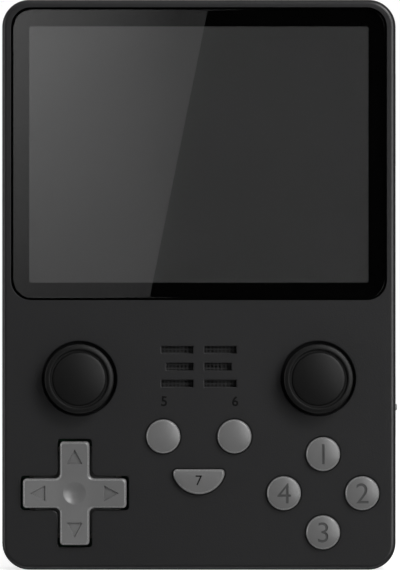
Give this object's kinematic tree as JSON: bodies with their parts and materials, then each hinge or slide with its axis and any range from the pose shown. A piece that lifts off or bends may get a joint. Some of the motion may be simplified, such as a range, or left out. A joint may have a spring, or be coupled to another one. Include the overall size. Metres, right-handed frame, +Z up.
{
  "type": "handheld game console",
  "caption": "Upright pocket game console: flush screen above thumb sticks, direction pad and round buttons, with hinged shoulder keys on the back.",
  "frame": {"origin": "middle of the bounding box at the bottom edge that the console stands on", "axes": "+X to the player's right, +Z up the front, the screen faces -Y"},
  "size_m": [0.0832, 0.024, 0.1195],
  "materials": {
    "shell": "fine moulded texture, matte black",
    "button": "satin moulded grey",
    "stick": "matte black rubber",
    "glass": "polished",
    "display": "dark display panel",
    "adhesive": "black adhesive tape",
    "steel": "plated",
    "board": "green solder mask",
    "chip": "moulded black",
    "battery": "grey pouch",
    "wire": "red insulation",
    "ribbon": "amber film",
    "silicone": "translucent silicone",
    "acetal": "black acetal",
    "mesh": "woven dust mesh"
  },
  "bodies": {
    "console": {"front_shell": "shell", "rear_shell": "shell", "case_screws": "steel", "screen_glass": "glass", "screen_adhesive": "adhesive", "lcd_panel": "display", "lcd_backlight": "steel", "lcd_ribbon": "ribbon", "main_board": "board", "board_screws": "steel", "main_chips": "chip", "battery": "battery", "battery_lead": "wire", "speaker": "chip", "speaker_mesh": "mesh", "speaker_lead": "wire", "charge_port": "steel", "second_port": "steel", "headphone_jack": "chip", "upper_card_socket": "steel", "lower_card_socket": "steel", "pad_membrane": "silicone", "action_membrane": "silicone", "menu_membrane": "silicone", "left_stick_housing": "steel", "right_stick_housing": "steel", "left_key_pin": "steel", "right_key_pin": "steel", "key_board": "board", "key_membranes": "silicone", "side_switches": "chip"},
    "pad_ball": {"pad_pivot_ball": "steel"},
    "pad": {"direction_pad": "button"},
    "action_top": {"action_button_top": "button"},
    "action_right": {"action_button_right": "button"},
    "action_bottom": {"action_button_bottom": "button"},
    "action_left": {"action_button_left": "button"},
    "select": {"select_button": "button"},
    "start": {"start_button": "button"},
    "function": {"function_button": "button"},
    "left_bumper": {"left_bumper": "button"},
    "left_trigger": {"left_trigger": "button"},
    "right_bumper": {"right_bumper": "button"},
    "right_trigger": {"right_trigger": "button"},
    "volume": {"volume_rocker": "button"},
    "power": {"power_button": "button"},
    "left_lower_yoke": {"left_stick_lower_yoke": "acetal"},
    "left_upper_yoke": {"left_stick_upper_yoke": "acetal"},
    "left_stick": {"left_stick_cap": "stick", "left_stick_lever": "steel"},
    "right_lower_yoke": {"right_stick_lower_yoke": "acetal"},
    "right_upper_yoke": {"right_stick_upper_yoke": "acetal"},
    "right_stick": {"right_stick_cap": "stick", "right_stick_lever": "steel"}
  },
  "joints": [
    {"name": "action_top_press", "type": "slide", "parent": "console", "child": "action_top", "axis": [0, 1, 0], "range_m": [0, 0.0009], "stiffness_N_per_m": 600, "deforming": ["action_membrane"]},
    {"name": "action_right_press", "type": "slide", "parent": "console", "child": "action_right", "axis": [0, 1, 0], "range_m": [0, 0.0009], "stiffness_N_per_m": 600, "deforming": ["action_membrane"]},
    {"name": "action_bottom_press", "type": "slide", "parent": "console", "child": "action_bottom", "axis": [0, 1, 0], "range_m": [0, 0.0009], "stiffness_N_per_m": 600, "deforming": ["action_membrane"]},
    {"name": "action_left_press", "type": "slide", "parent": "console", "child": "action_left", "axis": [0, 1, 0], "range_m": [0, 0.0009], "stiffness_N_per_m": 600, "deforming": ["action_membrane"]},
    {"name": "select_press", "type": "slide", "parent": "console", "child": "select", "axis": [0, 1, 0], "range_m": [0, 0.0009], "stiffness_N_per_m": 600, "deforming": ["menu_membrane"]},
    {"name": "start_press", "type": "slide", "parent": "console", "child": "start", "axis": [0, 1, 0], "range_m": [0, 0.0009], "stiffness_N_per_m": 600, "deforming": ["menu_membrane"]},
    {"name": "function_press", "type": "slide", "parent": "console", "child": "function", "axis": [0, 1, 0], "range_m": [0, 0.0009], "stiffness_N_per_m": 600, "deforming": ["menu_membrane"]},
    {"name": "pad_tilt_vertical", "type": "hinge", "parent": "console", "child": "pad_ball", "pos_m": [-0.026, -0.00284, 0.0161], "axis": [1, 0, 0], "range_deg": [-3.5, 3.5], "stiffness_Nm_per_rad": 0.3, "deforming": ["pad_membrane"]},
    {"name": "pad_tilt_sideways", "type": "hinge", "parent": "pad_ball", "child": "pad", "pos_m": [-0.026, -0.00284, 0.0161], "axis": [0, 0, 1], "range_deg": [-3.5, 3.5], "stiffness_Nm_per_rad": 0.3, "deforming": ["pad_membrane"]},
    {"name": "left_stick_vertical", "type": "hinge", "parent": "console", "child": "left_lower_yoke", "pos_m": [-0.025, -0.00304, 0.0401], "axis": [1, 0, 0], "range_deg": [-14, 14], "stiffness_Nm_per_rad": 0.08},
    {"name": "left_stick_sideways", "type": "hinge", "parent": "left_lower_yoke", "child": "left_stick", "pos_m": [-0.025, -0.00304, 0.0401], "axis": [0, 0, 1], "range_deg": [-14, 14], "stiffness_Nm_per_rad": 0.08},
    {"name": "left_upper_yoke_turn", "type": "hinge", "parent": "console", "child": "left_upper_yoke", "pos_m": [-0.025, -0.00304, 0.0401], "axis": [0, 0, 1], "range_deg": [-14, 14]},
    {"name": "right_stick_vertical", "type": "hinge", "parent": "console", "child": "right_lower_yoke", "pos_m": [0.025, -0.00304, 0.0401], "axis": [1, 0, 0], "range_deg": [-14, 14], "stiffness_Nm_per_rad": 0.08},
    {"name": "right_stick_sideways", "type": "hinge", "parent": "right_lower_yoke", "child": "right_stick", "pos_m": [0.025, -0.00304, 0.0401], "axis": [0, 0, 1], "range_deg": [-14, 14], "stiffness_Nm_per_rad": 0.08},
    {"name": "right_upper_yoke_turn", "type": "hinge", "parent": "console", "child": "right_upper_yoke", "pos_m": [0.025, -0.00304, 0.0401], "axis": [0, 0, 1], "range_deg": [-14, 14]},
    {"name": "left_bumper_press", "type": "hinge", "parent": "console", "child": "left_bumper", "pos_m": [0, 0.00596, 0.1046], "axis": [1, 0, 0], "range_deg": [0, 6], "stiffness_Nm_per_rad": 0.25, "deforming": ["key_membranes"]},
    {"name": "left_trigger_press", "type": "hinge", "parent": "console", "child": "left_trigger", "pos_m": [0, 0.00596, 0.1046], "axis": [1, 0, 0], "range_deg": [0, 6], "stiffness_Nm_per_rad": 0.25, "deforming": ["key_membranes"]},
    {"name": "right_bumper_press", "type": "hinge", "parent": "console", "child": "right_bumper", "pos_m": [0, 0.00596, 0.1046], "axis": [1, 0, 0], "range_deg": [0, 6], "stiffness_Nm_per_rad": 0.25, "deforming": ["key_membranes"]},
    {"name": "right_trigger_press", "type": "hinge", "parent": "console", "child": "right_trigger", "pos_m": [0, 0.00596, 0.1046], "axis": [1, 0, 0], "range_deg": [0, 6], "stiffness_Nm_per_rad": 0.25, "deforming": ["key_membranes"]},
    {"name": "volume_rock", "type": "hinge", "parent": "console", "child": "volume", "pos_m": [0.0383, 0.00336, 0.0945], "axis": [0, 1, 0], "range_deg": [-2.5, 2.5], "stiffness_Nm_per_rad": 0.3},
    {"name": "power_press", "type": "slide", "parent": "console", "child": "power", "axis": [-1, 0, 0], "range_m": [0, 0.0005], "stiffness_N_per_m": 800}
  ],
  "couplings": [
    {"joint": "left_upper_yoke_turn", "follows": "left_stick_sideways", "ratio": 1},
    {"joint": "right_upper_yoke_turn", "follows": "right_stick_sideways", "ratio": 1}
  ]
}
